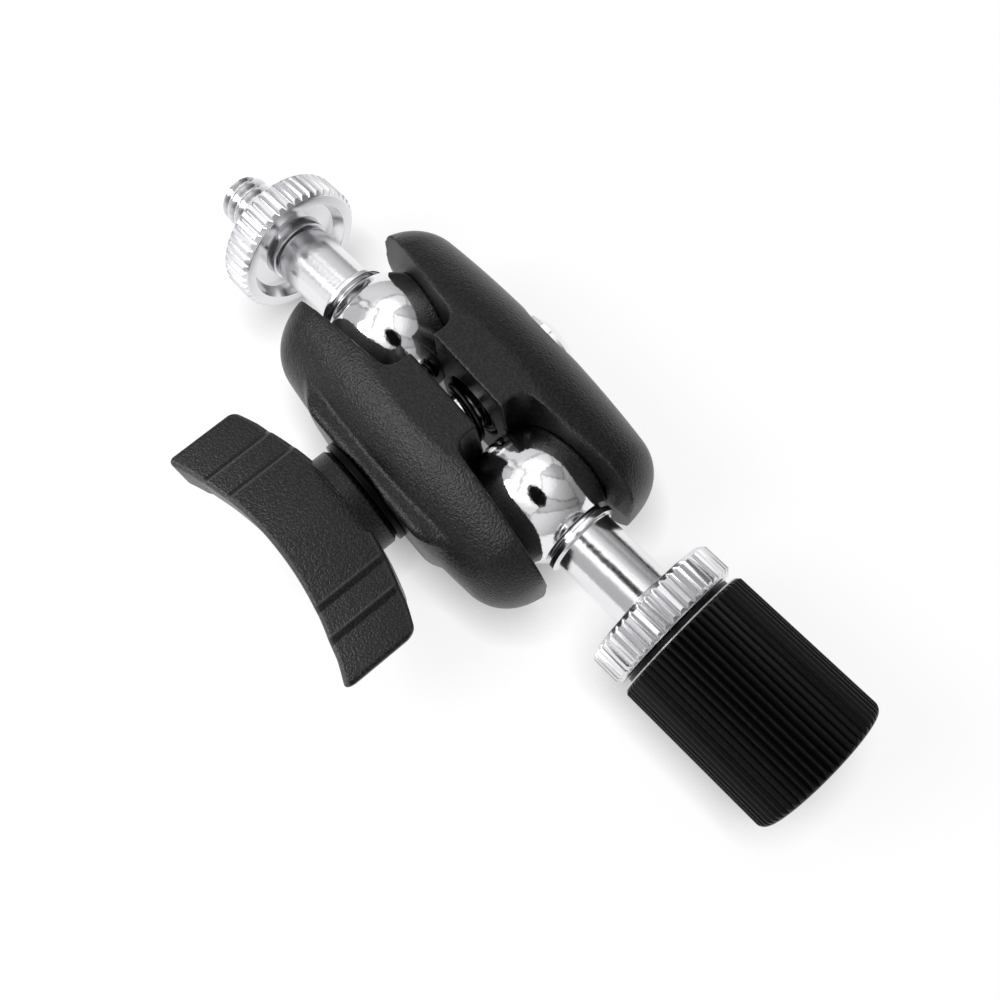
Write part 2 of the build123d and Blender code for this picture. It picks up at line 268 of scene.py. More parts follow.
def plated_chrome(name, low, high, pits):
    """Chrome plate on turned steel: a mirror that long waves and a fine orange peel make a little ragged.

    Low and high bound its roughness and pits is the peel's strength. Grooves are painted greyer than
    crests, as painted shade."""
    material, tree, surface = shader(name, {"Metallic": 1.0})
    place = add(tree, "ShaderNodeTexCoord").outputs["Object"]
    wave_size = {"Scale": 1 / (CHROME_WAVE * MM), "Detail": 2.0}
    waves = add(tree, "ShaderNodeTexNoise", wave_size, {"Vector": place}).outputs["Fac"]
    peel_size = {"Scale": 1 / (CHROME_PEEL * MM), "Detail": 3.0}
    peel = add(tree, "ShaderNodeTexNoise", peel_size, {"Vector": place}).outputs["Fac"]
    ridge = add(tree, "ShaderNodeAttribute", attribute_name="ridge").outputs["Fac"]
    # painted shade: thread roots are painted greyer than the crests
    tint = add(tree, "ShaderNodeValToRGB", links={"Fac": ridge})
    tint.color_ramp.elements[0].color = linear("#b4b4b7")
    tint.color_ramp.elements[1].color = linear("#ececee")
    haze = add(tree, "ShaderNodeMapRange", {"To Min": low, "To Max": high}, {"Value": peel})
    pitted = {"Strength": pits, "Distance": CHROME_DEPTH * MM}
    fine = add(tree, "ShaderNodeBump", pitted, {"Height": peel}).outputs["Normal"]
    rolling = {"Strength": 0.25, "Distance": CHROME_DEPTH * MM}
    bump = add(tree, "ShaderNodeBump", rolling, {"Height": waves, "Normal": fine})
    tree.links.new(tint.outputs["Color"], surface.inputs["Base Color"])
    tree.links.new(haze.outputs["Result"], surface.inputs["Roughness"])
    tree.links.new(bump.outputs["Normal"], surface.inputs["Normal"])
    return material


def plated_knurl():
    """Nickel plate over a rolled knurl: frosted on the rim and painted greyer down in its grooves as
    painted shade, satin on the turned faces."""
    material, tree, surface = shader("plated_knurl", {"Metallic": 1.0})
    ridge = add(tree, "ShaderNodeAttribute", attribute_name="ridge").outputs["Fac"]
    place = add(tree, "ShaderNodeTexCoord").outputs["Object"]
    speckle_size = {"Scale": 1 / (KNURL_SPECKLE * MM), "Detail": 2.0}
    speckle = add(tree, "ShaderNodeTexNoise", speckle_size, {"Vector": place}).outputs["Fac"]
    # painted shade: the knurl's grooves are painted greyer than its crests
    tint = add(tree, "ShaderNodeValToRGB", links={"Fac": ridge})
    tint.color_ramp.elements[0].color = linear("#cfcfd2")
    tint.color_ramp.elements[1].color = linear("#eaeaec")
    frost = add(tree, "ShaderNodeMapRange", {"To Min": 0.20, "To Max": 0.27}, {"Value": speckle})
    satin = {"From Min": RIM_VALUE, "From Max": 0.95, "To Max": 0.18}
    rim = {"Value": ridge, "To Min": frost.outputs["Result"]}
    dull = add(tree, "ShaderNodeMapRange", satin, rim)
    tree.links.new(tint.outputs["Color"], surface.inputs["Base Color"])
    tree.links.new(dull.outputs["Result"], surface.inputs["Roughness"])
    return material


def black_anodised():
    """Black anodised aluminium: satin black, paler along the ridges partly as rubbing and partly as a
    painted highlight, with painted shade darkest in the flute roots, bare at the faced edge.
    """
    material, tree, surface = shader("black_anodised", {"Specular IOR Level": 0.15})
    ridge = add(tree, "ShaderNodeAttribute", attribute_name="ridge").outputs["Fac"]
    place = add(tree, "ShaderNodeTexCoord").outputs["Object"]
    rub_size = {"Scale": 1 / (ANODISED_RUB_HIGHLIGHT * MM), "Detail": 3.0}
    rub = add(tree, "ShaderNodeTexNoise", rub_size, {"Vector": place}).outputs["Fac"]
    # painted highlight and shade: flute crests are painted paler, partly as rubbing, and the flute roots
    # darkest as painted shade
    worn_and_highlit = add(tree, "ShaderNodeMath", links={0: ridge, 1: rub}, operation="MULTIPLY")
    tint = add(tree, "ShaderNodeValToRGB", links={"Fac": worn_and_highlit.outputs["Value"]})
    tint.color_ramp.elements[0].position = 0.35
    tint.color_ramp.elements[0].color = linear("#050505")
    tint.color_ramp.elements[1].position = 0.70
    tint.color_ramp.elements[1].color = linear("#1a1a1b")
    satin = add(tree, "ShaderNodeMapRange", {"To Min": 0.30, "To Max": 0.46}, {"Value": rub})
    faced = {"From Min": 1.3, "From Max": 1.8}
    bare = add(tree, "ShaderNodeMapRange", faced, {"Value": ridge}).outputs["Result"]
    dyed_and_shaded = {"Factor": bare, "A": tint.outputs["Color"]}
    skin = add(tree, "ShaderNodeMix", {"B": linear("#d8d8da")}, dyed_and_shaded, data_type="RGBA")
    tree.links.new(skin.outputs["Result"], surface.inputs["Base Color"])
    tree.links.new(bare, surface.inputs["Metallic"])
    tree.links.new(satin.outputs["Result"], surface.inputs["Roughness"])
    return material


def drawn_metal(name, hex_code, low, high):
    """Drawn or turned bare metal: a soft sheen with fine streaks in its roughness, from low to high."""
    material, tree, surface = shader(name, {"Base Color": linear(hex_code), "Metallic": 1.0})
    place = add(tree, "ShaderNodeTexCoord").outputs["Object"]
    streak_size = {"Scale": 1 / (METAL_STREAK * MM), "Detail": 2.0}
    streak = add(tree, "ShaderNodeTexNoise", streak_size, {"Vector": place}).outputs["Fac"]
    dull = add(tree, "ShaderNodeMapRange", {"To Min": low, "To Max": high}, {"Value": streak})
    tree.links.new(dull.outputs["Result"], surface.inputs["Roughness"])
    return material


def black_cloth():
    """Black cotton cloth for the stage's cards: takes what light there is and gives no shine."""
    settings = {"Base Color": linear("#101010"), "Roughness": 1.0, "Specular IOR Level": 0.0}
    return shader("black_cloth", settings)[0]


def white_paper():
    """White paper: seen straight or in the metal it glows, so it is white but keeps a light shadow; its
    glow is darkened by ambient occlusion near the part, a painted shadow.
    """
    material, tree, surface = shader("white_paper", {"Roughness": 1.0, "Specular IOR Level": 0.0})
    ray = add(tree, "ShaderNodeLightPath").outputs
    looks = {0: ray["Is Camera Ray"], 1: ray["Is Glossy Ray"]}
    seen = add(tree, "ShaderNodeMath", links=looks, operation="MAXIMUM").outputs["Value"]
    colours = {"A": linear("#f4f4f4"), "B": linear("#7c7c7c")}
    tint = add(tree, "ShaderNodeMix", colours, {"Factor": seen}, data_type="RGBA")
    # painted shadow: the floor's glow is darkened by ambient occlusion close to the part
    painted_contact_shadow = add(tree, "ShaderNodeAmbientOcclusion", {"Distance": FLOOR_SHADOW * MM}, samples=8)
    glow = add(tree, "ShaderNodeMapRange", {"To Max": 0.88}, {"Value": seen})
    tree.links.new(painted_contact_shadow.outputs["Color"], surface.inputs["Emission Color"])
    tree.links.new(tint.outputs["Result"], surface.inputs["Base Color"])
    tree.links.new(glow.outputs["Result"], surface.inputs["Emission Strength"])
    return material


def read(mesh, what, field, width, kind=float):
    """One field of a mesh's vertices or edges as an array with the given number of columns."""
    values = np.empty(len(getattr(mesh, what)) * width, kind)
    getattr(mesh, what).foreach_get(field, values)
    return values.reshape(-1, width)


def rub_and_highlight_corners(mesh):
    """Keeps as an attribute how far each vertex stands out from the mean of its neighbours; the nylon
    paints those corners paler, partly as wear and partly as a painted edge highlight.

    The height along the vertex normal is a share of the mean distance to them, 0 on a flat."""
    place, normal = read(mesh, "vertices", "co", 3), read(mesh, "vertices", "normal", 3)
    ends = read(mesh, "edges", "vertices", 2, int)
    one, two = np.vstack([ends, ends[:, ::-1]]).T
    count = np.bincount(one, minlength=len(place))
    total = np.column_stack([np.bincount(one, place[two, k], len(place)) for k in range(3)])
    middle = total / count[:, None]
    reach = np.bincount(one, np.linalg.norm(place[two] - place[one], axis=1), len(place)) / count
    height = ((place - middle) * normal).sum(axis=1) / reach
    rub = np.clip((height - RUB_HIGHLIGHT_START) / (RUB_HIGHLIGHT_FULL - RUB_HIGHLIGHT_START), 0, 1)
    rub = (rub + np.bincount(one, rub[two], len(place)) / count) / 2
    mesh.attributes.new("rub", "FLOAT", "POINT").data.foreach_set("value", rub.astype(np.float32))


def grid_piece(name, grids, material, body, sharp=32.0, mark="ridge", plain=1.0):
    """One object from grids of points (rows, columns, 3) in mm, closed round the columns.

    Each cell (i, j) is the quad of points i, i+1 and j, j+1; doubles are merged, so a row of equal
    points is a closed pole. A grid's fourth value is kept as the attribute mark, or else plain is."""
    points, faces, start = [], [], 0
    for grid in grids:
        rows, columns = grid.shape[:2]
        index = start + np.arange(rows * columns).reshape(rows, columns)
        beside = np.roll(index, -1, axis=1)
        quads = np.stack([index[:-1], beside[:-1], beside[1:], index[1:]], axis=-1)
        faces.append(quads.reshape(-1, 4))
        flat = grid.reshape(rows * columns, -1)
        if flat.shape[1] == 3:
            flat = np.column_stack([flat, np.full(len(flat), plain)])
        points.append(flat)
        start += rows * columns
    points, faces = np.vstack(points), np.vstack(faces)
    mesh = bpy.data.meshes.new(name)
    mesh.from_pydata((points[:, :3] * MM).tolist(), [], faces.tolist())
    marks = mesh.attributes.new(mark, "FLOAT", "POINT").data
    marks.foreach_set("value", points[:, 3].astype(np.float32))
    work = bmesh.new()
    work.from_mesh(mesh)
    bmesh.ops.remove_doubles(work, verts=work.verts, dist=SAME_PLACE * MM)
    bmesh.ops.dissolve_degenerate(work, edges=work.edges, dist=NO_LENGTH * MM)
    bmesh.ops.recalc_face_normals(work, faces=work.faces)
    work.to_mesh(mesh)
    work.free()
    mesh.shade_smooth()
    mesh.set_sharp_from_angle(angle=np.radians(sharp))
    mesh.materials.append(material)
    piece = bpy.data.objects.new(name, mesh)
    scene.collection.objects.link(piece)
    if body:
        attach(piece, body)
    return piece


def rounded(points, radius, steps=5):
    """An open outline with each inner corner rounded off, as a row of points.

    Each curve is a quadratic Bezier with the corner as its middle point. It touches both sides where an
    arc of the radius would, radius / tan(half the angle) away, but within 0.45 of either side."""
    points = np.array(points, float)
    out = [points[0]]
    for before, corner, after in zip(points[:-2], points[1:-1], points[2:]):
        one, two = before - corner, after - corner
        reach_one, reach_two = np.linalg.norm(one), np.linalg.norm(two)
        one, two = one / reach_one, two / reach_two
        half = np.arccos(np.clip(one @ two, -1, 1)) / 2
        touch = min(radius / np.tan(half), 0.45 * reach_one, 0.45 * reach_two)
        blend = np.linspace(0, 1, steps)[:, None]
        start, end = corner + one * touch, corner + two * touch
        out.extend((1 - blend) ** 2 * start + 2 * blend * (1 - blend) * corner + blend**2 * end)
    return np.array([*out, points[-1]])


def about(centre, axis, along, radius, turn):
    """Points at distance along the axis and radius from it, at angles turn counted from straight up."""
    across = np.cross(axis, UP)
    place = centre + along[..., None] * axis
    return place + radius[..., None] * (np.cos(turn)[..., None] * UP + np.sin(turn)[..., None] * across)


def turned(centre, axis, profile, segments=128):
    """Surface of revolution: every (along, radius) of the profile carried round the axis."""
    turn = np.linspace(0, 2 * np.pi, segments, endpoint=False)
    along, turn = np.broadcast_arrays(profile[:, :1], turn)
    radius = np.broadcast_to(profile[:, 1:2], along.shape)
    return about(centre, axis, along, radius, turn)


def ridges(turn, count, crest):
    """How far down a V tooth each angle lies, 0 on the flat crest and 1 at the root, for count teeth."""
    phase = np.abs(((turn * count / (2 * np.pi)) % 1) * 2 - 1)
    return np.clip((1 - phase - crest) / (1 - crest), 0, 1)


def toothed(centre, axis, profile, outer, depth, count, crest, samples=10):
    """A turned piece whose rim is cut by straight V teeth: radius = min(profile, outer - depth * ridges).

    The fourth value is 1 off the rim and RIM_VALUE on it, and falls to 0 down each tooth's flank."""
    turn = np.linspace(0, 2 * np.pi, count * samples, endpoint=False)
    down = ridges(turn, count, crest)
    along, turn = np.broadcast_arrays(profile[:, :1], turn)
    limit = outer - depth * down
    radius = np.minimum(profile[:, 1:2], limit)
    rim = np.where(profile[:, 1:2] > outer - depth, RIM_VALUE, 1.0)
    high = np.where(profile[:, 1:2] > limit, RIM_VALUE * (1 - down), rim)
    return np.concatenate([about(centre, axis, along, radius, turn), high[..., None]], axis=-1)


def thread(centre, axis, start, end, outer, depth, pitch, lead_in, segments=96, rows_per_pitch=20):
    """Right-handed screw: radius = outer - depth * V(along / pitch - turn), held under a cone at the tip.

    V is flat for an eighth of the pitch on the crest and a quarter in the root, as a rolled thread is."""
    rows = int(np.ceil((end - start) / pitch * rows_per_pitch)) + 1
    along = np.linspace(start, end, rows)[:, None]
    turn = np.linspace(0, 2 * np.pi, segments, endpoint=False)[None, :]
    along, turn = np.broadcast_arrays(along, turn)
    phase = np.abs(((along / pitch - turn / (2 * np.pi)) % 1) * 2 - 1)
    groove = np.clip((1 - phase - CREST_FLAT) / (1 - CREST_FLAT - ROOT_FLAT), 0, 1)
    radius = np.minimum(outer - depth * groove, outer - lead_in + (end - along))
    screw = np.concatenate([about(centre, axis, along, radius, turn), 1 - groove[..., None]], axis=-1)
    middle = about(centre, axis, along[-1:], 0 * radius[-1:], turn[-1:])
    tip = np.concatenate([middle, screw[-1:, :, 3:]], axis=-1)
    return np.concatenate([screw, tip])


def shank_grid(centre, axis, end):
    """Spigot, collar, lip, neck and gripped shank turned with softened corners, up to the shank's end."""
    collar = LIP_AT + FACE_GAP
    lip = collar + COLLAR_T
    outline = rounded([
        (LIP_AT - SPIGOT_LENGTH, 0),
        (LIP_AT - SPIGOT_LENGTH, SPIGOT_R),
        (collar, SPIGOT_R),
        (collar, COLLAR_R),
        (lip, COLLAR_R),
        (lip, LIP_R),
        (lip + LIP_T, LIP_R),
        (lip + LIP_T, NECK_R),
        (NECK_END, NECK_R),
        (NECK_END, THREAD_MEAN_R),
        (end, THREAD_MEAN_R),
        (end, THREAD_MEAN_R - SHANK_STEP),
    ], EDGE_R)
    shank = turned(centre, axis, outline, 96)
    return np.concatenate([shank, np.ones((*shank.shape[:2], 1))], axis=-1)


def top_stud_grid():
    """The shank up to the nut's far side, then the bare screw, in one run of rows."""
    bare = NUT_SEAT + NUT_T + FACE_GAP
    form = THREAD_R, THREAD_DEPTH, THREAD_PITCH, LEAD_IN
    screw = thread(TOP_CENTRE, TOP_AXIS, bare, TOP_THREAD_END, *form)
    return np.concatenate([shank_grid(TOP_CENTRE, TOP_AXIS, bare), screw])


def base_stud_grid():
    """The shank up to the bottom of the sleeve's hole, closed there."""
    end = SLEEVE_START + SLEEVE_STUD_DEPTH - FACE_GAP
    shank = shank_grid(BASE_CENTRE, BASE_AXIS, end)
    middle = np.broadcast_to([*(BASE_CENTRE + end * BASE_AXIS), 1.0], shank[-1:].shape)
    return np.concatenate([shank, middle])


def ball_grid(centre, axis):
    """Sphere from its far pole to the flat under the lip, then down the spigot's bore."""
    flat_angle = np.arccos(LIP_AT / BALL_R)
    angle = np.linspace(np.pi, flat_angle, 96)
    sphere = np.column_stack([BALL_R * np.cos(angle), BALL_R * np.sin(angle)])
    bore = SPIGOT_R + BORE_GAP
    floor = LIP_AT - SPIGOT_LENGTH - FACE_GAP
    hole = np.array([(LIP_AT, bore), (floor, bore), (floor, 0)])
    return turned(centre, axis, np.vstack([sphere, hole]), 160)


def nut_grid(centre, axis):
    """Thumb nut: bore, hub, dish and rim as one closed outline, with the rim cut by the knurl."""
    end = NUT_SEAT + NUT_T
    bore = THREAD_MEAN_R + BORE_GAP
    floor = NUT_SEAT + NUT_DISH_DEPTH
    face = rounded([
        (end, bore),
        (NUT_SEAT, bore),
        (NUT_SEAT, NUT_HUB_R),
        (floor, NUT_HUB_R),
        (floor, NUT_DISH_R - NUT_DISH_DRAFT),
        (NUT_SEAT, NUT_DISH_R),
        (NUT_SEAT, NUT_R - NUT_CHAMFER),
        (NUT_SEAT + NUT_LEAD, NUT_R - NUT_CHAMFER + NUT_LEAD),
    ], NUT_EDGE_R)
    near = NUT_SEAT + NUT_LEAD + np.linspace(0, NUT_CHAMFER - NUT_LEAD, 12)
    ramp = np.column_stack([near, NUT_R - NUT_CHAMFER + (near - NUT_SEAT)])
    far = np.column_stack([2 * NUT_SEAT + NUT_T - ramp[::-1, 0], ramp[::-1, 1]])
    back = np.array([(end, NUT_R - NUT_CHAMFER), (end, bore)])
    profile = np.vstack([face, ramp, far, back])
    return toothed(centre, axis, profile, NUT_R, NUT_TOOTH_DEPTH, NUT_TEETH, NUT_CREST)


def sleeve_grid(centre, axis):
    """Fluted sleeve with a chamfer at the nut, a rounded far rim and a threaded socket's plain bore.

    The fourth value is EDGE_VALUE on the ring where the faced end meets the chamfer."""
    end = SLEEVE_START + SLEEVE_LENGTH
    bore = THREAD_MEAN_R + BORE_GAP
    stud_floor = SLEEVE_START + SLEEVE_STUD_DEPTH
    socket_floor = end - SOCKET_DEPTH
    start = np.array([
        (stud_floor, 0),
        (stud_floor, bore),
        (SLEEVE_START - SHOULDER_T, bore),
        (SLEEVE_START - SHOULDER_T, SHOULDER_R),
        (SLEEVE_START, SHOULDER_R),
        (SLEEVE_START, SLEEVE_R - SLEEVE_CHAMFER - SLEEVE_LEAD),
    ])
    slope = np.linspace(0, SLEEVE_CHAMFER, 10)
    chamfer = np.column_stack([
        SLEEVE_START + SLEEVE_LEAD + slope,
        SLEEVE_R - SLEEVE_CHAMFER + slope,
    ])
    angle = np.linspace(np.pi / 2, 0, 14)
    rim = np.column_stack([
        end - SLEEVE_END_R + SLEEVE_END_R * np.cos(angle),
        SLEEVE_R - SLEEVE_END_R + SLEEVE_END_R * np.sin(angle),
    ])
    socket = np.array([
        (end, SOCKET_R + SOCKET_CHAMFER),
        (end - SOCKET_CHAMFER, SOCKET_R),
        (socket_floor, SOCKET_R),
        (socket_floor, 0),
    ])
    profile = np.vstack([start, chamfer, rim, socket])
    grid = toothed(centre, axis, profile, SLEEVE_R, SLEEVE_FLUTE_DEPTH, SLEEVE_FLUTES, SLEEVE_CREST)
    at_end = (profile[:, 0] >= SLEEVE_START) & (profile[:, 0] < SLEEVE_START + EDGE_WIDTH)
    grid[at_end & (profile[:, 1] > SHOULDER_R), :, 3] = EDGE_VALUE
    return grid


def bolt_grids():
    """Coach bolt: a low spherical dome on a thin rim, a shank, and a rolled thread at the knob's end."""
    out = np.array([0.0, 1.0, 0.0])
    dome = HEAD_H - HEAD_RIM
    sphere = (HEAD_R**2 + dome**2) / (2 * dome)
    angle = np.linspace(0, np.arcsin(HEAD_R / sphere), 24)
    cap = np.column_stack([HEAD_SEAT + HEAD_H - sphere * (1 - np.cos(angle)), sphere * np.sin(angle)])
    rest = np.array([(HEAD_SEAT, HEAD_R), (HEAD_SEAT, BOLT_R), (-BOLT_THREAD_AT, BOLT_R)])
    plain = turned(CLAMP, out, np.vstack([cap, rest]), 96)
    plain = np.concatenate([plain, np.ones((*plain.shape[:2], 1))], axis=-1)
    form = BOLT_R, BOLT_THREAD_DEPTH, BOLT_PITCH, LEAD_IN
    screw = thread(CLAMP, -out, BOLT_THREAD_AT, BOLT_REACH, *form)
    return [plain, screw]


def spring_grid():
    """Coil spring: a circle of the wire's radius carried square along a helix about the clamp axis."""
    path = np.linspace(0, 2 * np.pi * SPRING_TURNS, 72 * SPRING_TURNS + 1)[:, None]
    ring = np.linspace(0, 2 * np.pi, 20, endpoint=False)[None, :]
    rise = 2 * SPRING_HALF / (2 * np.pi * SPRING_TURNS)
    lean = np.arctan2(rise, SPRING_R)
    radial = SPRING_R + SPRING_WIRE_R * np.cos(ring)
    side = SPRING_WIRE_R * np.sin(ring)
    x = radial * np.cos(path) + side * np.sin(path) * np.sin(lean)
    z = radial * np.sin(path) - side * np.cos(path) * np.sin(lean)
    y = -SPRING_HALF + rise * path + side * np.cos(lean)
    coil = CLAMP + np.stack([x, y + 0 * ring, z], axis=-1)
    first = np.broadcast_to(coil[:1].mean(axis=1, keepdims=True), coil[:1].shape)
    last = np.broadcast_to(coil[-1:].mean(axis=1, keepdims=True), coil[-1:].shape)
    return np.concatenate([first, coil, last])


def washer_grid():
    """Flat washer: a rounded rectangle carried round the clamp axis, closed back on itself."""
    inner = BOLT_R + WASHER_BORE_GAP
    near = WASHER_FACE
    far = WASHER_FACE + WASHER_T
    outline = rounded([(near, inner), (near, WASHER_R), (far, WASHER_R), (far, inner)], EDGE_R)
    profile = np.vstack([outline, outline[:1]])
    return turned(CLAMP, np.array([0.0, -1.0, 0.0]), profile, 128)


def wing_bow(x):
    """How far the wing has bowed away from the jaws at x: the rise of a circle through both tips."""
    half = WING_SPAN / 2
    radius = (half**2 + WING_SAGITTA**2) / (2 * WING_SAGITTA)
    return radius - np.sqrt(radius**2 - x**2)


def wing_grid():
    """Bowed wing: a rounded rectangle in Y and Z carried along X, its height stepped by np.interp.

    Near each tip the section shrinks by edge - sqrt(edge^2 - depth^2), so the end edges are round too,
    and its sides close in by a share of a quarter circle of WING_CORNER_R. The fourth value is 1 on
    the rounded corners and along the step crests, painted paler there partly as rubbing and partly as a
    painted highlight."""
    half = WING_SPAN / 2
    edge = WING_EDGE_R
    tip = half - edge * (1 - np.sin(np.linspace(0, np.pi / 2, 9)))
    marks = np.array(WING_THICKNESS_AT[1:5])
    bends = (marks[:, None] + np.linspace(-WING_STEP_ROWS, WING_STEP_ROWS, 5)).ravel()
    right = np.concatenate([np.linspace(0, half - edge - WING_TIP_GAP, 60), bends, tip])
    right = np.unique(np.round(right, 5))
    x = np.concatenate([-right[:0:-1], right])
    depth = np.clip(np.abs(x) - (half - edge), 0, edge)
    inset = edge - np.sqrt(edge**2 - depth**2)
    spread = np.linspace(-WING_STEP_BLUR, WING_STEP_BLUR, 7)
    around = np.abs(x + spread[:, None])
    tall = np.interp(around, WING_THICKNESS_AT, WING_HALF_THICKNESS).mean(axis=0)
    quarter = np.linspace(0, np.pi / 2, 7)
    cosine, sine = np.cos(quarter), np.sin(quarter)
    corner_y = np.concatenate([cosine, -sine, -cosine, sine])
    corner_z = np.concatenate([sine, cosine, -sine, -cosine])
    side_y = np.repeat([1, -1, -1, 1], len(quarter))
    side_z = np.repeat([1, 1, -1, -1], len(quarter))
    core = np.maximum(edge - inset, 0)[:, None]
    past = np.clip(np.abs(x) - (half - WING_CORNER_R), 0, WING_CORNER_R)
    cut = WING_CORNER_R - np.sqrt(WING_CORNER_R**2 - past**2)
    y = side_y * (WING_BAND / 2 - edge - WING_CORNER_CUT * cut[:, None]) + corner_y * core
    z = side_z * (tall[:, None] - edge) + corner_z * core
    middle = -(WING_INNER + WING_BAND / 2) - wing_bow(x)
    lean = WING_END_LEAN * np.clip(np.abs(x) - WING_THICKNESS_AT[4], 0, 1) * np.sign(x)
    crests = np.array(WING_THICKNESS_AT)[[1, 3]]
    # painted highlight: the step crests and the section's corners are marked to be painted paler, partly
    # as rubbed wear and partly as a painted highlight
    step = np.exp(-((np.abs(x)[:, None] - crests) / WING_RUB_HIGHLIGHT_WIDTH) ** 2).sum(axis=1)
    corner = np.tile(np.sin(2 * quarter), 4)
    rub = np.maximum(step[:, None] * np.abs(corner_z), corner)
    points = np.stack([x[:, None] + lean[:, None] * z, middle[:, None] + y, z, rub], axis=-1)
    caps = [np.broadcast_to(points[i].mean(axis=0), (1, *points[i].shape)) for i in (0, -1)]
    return np.append(CLAMP, 0) + np.concatenate([caps[0], points, caps[1]])


def hub_grid():
    """Knob hub: a cylinder on the clamp axis from the washer to the wing's bowed inner side."""
    out = np.array([0.0, -1.0, 0.0])
    turn = np.linspace(0, 2 * np.pi, 128, endpoint=False)
    face = rounded([
        (HUB_FACE + INSERT_SEAT, INSERT_R),
        (HUB_FACE, INSERT_R),
        (HUB_FACE, HUB_R - HUB_CHAMFER),
        (HUB_FACE + HUB_CHAMFER, HUB_R),
        (HUB_FACE + 2 * HUB_CHAMFER, HUB_R),
    ], HUB_EDGE_R)
    front = turned(CLAMP, out, face, len(turn))
    across = np.cross(out, UP)[0] * np.sin(turn)
    radius = np.linspace(HUB_R, 0, 10)[:, None]
    along = WING_INNER + HUB_OVERLAP + wing_bow(radius * across)
    radius, turn = np.broadcast_arrays(radius, turn)
    return np.concatenate([front, about(CLAMP, out, along, radius, turn)])


def moulded(name, node, body, material):
    """A moulded node's shape remade on a fine grid and smoothed, so that its corners are round."""
    mesh = frame["nodes"][node].data.copy()
    piece = bpy.data.objects.new(name, mesh)
    scene.collection.objects.link(piece)
    weld = piece.modifiers.new("weld", "WELD")
    weld.merge_threshold = MOULD_WELD * MM
    remake = piece.modifiers.new("remake", "REMESH")
    remake.mode = "VOXEL"
    remake.voxel_size = MOULD_GRID * MM
    smooth = piece.modifiers.new("smooth", "SMOOTH")
    smooth.factor = MOULD_SMOOTHING
    smooth.iterations = MOULD_ROUNDS
    ready = piece.evaluated_get(bpy.context.evaluated_depsgraph_get())
    piece.data = bpy.data.meshes.new_from_object(ready)
    piece.modifiers.clear()
    bpy.data.meshes.remove(mesh)
    fade_pad(piece.data)
    piece.data.shade_smooth()
    rub_and_highlight_corners(piece.data)
    piece.data.materials.clear()
    piece.data.materials.append(material)
    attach(piece, body)
    return piece


def fade_pad(mesh):
    """Lets the knob's pad run out into the jaw's round back: its height over the back fades to its ends.

    The back is a circle of radius JAW_ROUND_R about the spine, less the crown's fall along X."""
    x, y, z = (read(mesh, "vertices", "co", 3) / MM - CLAMP).T
    back = JAW_ROUND_R - (JAW_CROWN_R - np.sqrt(JAW_CROWN_R**2 - x**2))
    out = np.hypot(y + JAW_AXIS, z)
    share = np.clip((PAD_HALF - np.abs(x)) / PAD_FADE, 0, 1)
    share = share * share * (3 - 2 * share)
    raised = (y < -PAD_ROOT) & (out > back) & (np.abs(x) < PAD_HALF + MOULD_GRID)
    scale = np.where(raised, (back + (out - back) * share) / out, 1.0)
    place = CLAMP + np.column_stack([x, (y + JAW_AXIS) * scale - JAW_AXIS, z * scale])
    mesh.vertices.foreach_set("co", (place * MM).ravel())
    mesh.update()


def paint(node, material):
    """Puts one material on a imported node."""
    slots = frame["nodes"][node].data.materials
    slots.clear()
    slots.append(material)


def facing(direction, distance):
    """Place and turn of a flat thing that faces the clamp from a direction, at a distance in metres."""
    away = np.array(direction) / np.linalg.norm(direction)
    side = np.cross([0.0, 1.0, 0.0] if abs(away[2]) > 0.9 else UP, away)
    side /= np.linalg.norm(side)
    turn = Matrix(np.column_stack([side, np.cross(away, side), away]).tolist()).to_4x4()
    return Matrix.Translation((CLAMP * MM + away * distance).tolist()) @ turn


def softbox(name, direction, distance, width, height, glow):
    """A soft light panel of an even glow; a glow of 1 shows as white in a mirror."""
    light = bpy.data.lights.new(name, "AREA")
    light.shape = "ELLIPSE"
    light.size, light.size_y = width, height
    light.energy = glow * np.pi * np.pi / 4 * width * height
    lamp = bpy.data.objects.new(name, light)
    lamp.matrix_world = facing(direction, distance)
    scene.collection.objects.link(lamp)


def card(name, direction, distance, width, height, material):
    """An oval card that the bright metal mirrors as a dark shape; no camera sees it straight."""
    turn = np.linspace(0, 2 * np.pi, 48, endpoint=False)
    rim = np.column_stack([width / 2 * np.cos(turn), height / 2 * np.sin(turn), 0 * turn])
    mesh = bpy.data.meshes.new(name)
    mesh.from_pydata(rim.tolist(), [], [range(len(turn))])
    mesh.transform(facing(direction, distance))
    mesh.materials.append(material)
    piece = bpy.data.objects.new(name, mesh)
    piece.visible_camera = False
    scene.collection.objects.link(piece)


def paper_floor():
    """A wide square of paper under the part."""
    half = FLOOR_HALF * MM
    corners = [(-half, -half, 0), (half, -half, 0), (half, half, 0), (-half, half, 0)]
    mesh = bpy.data.meshes.new("floor")
    mesh.from_pydata(corners, [], [(0, 1, 2, 3)])
    mesh.materials.append(white_paper())
    floor = bpy.data.objects.new("floor", mesh)
    scene.collection.objects.link(floor)


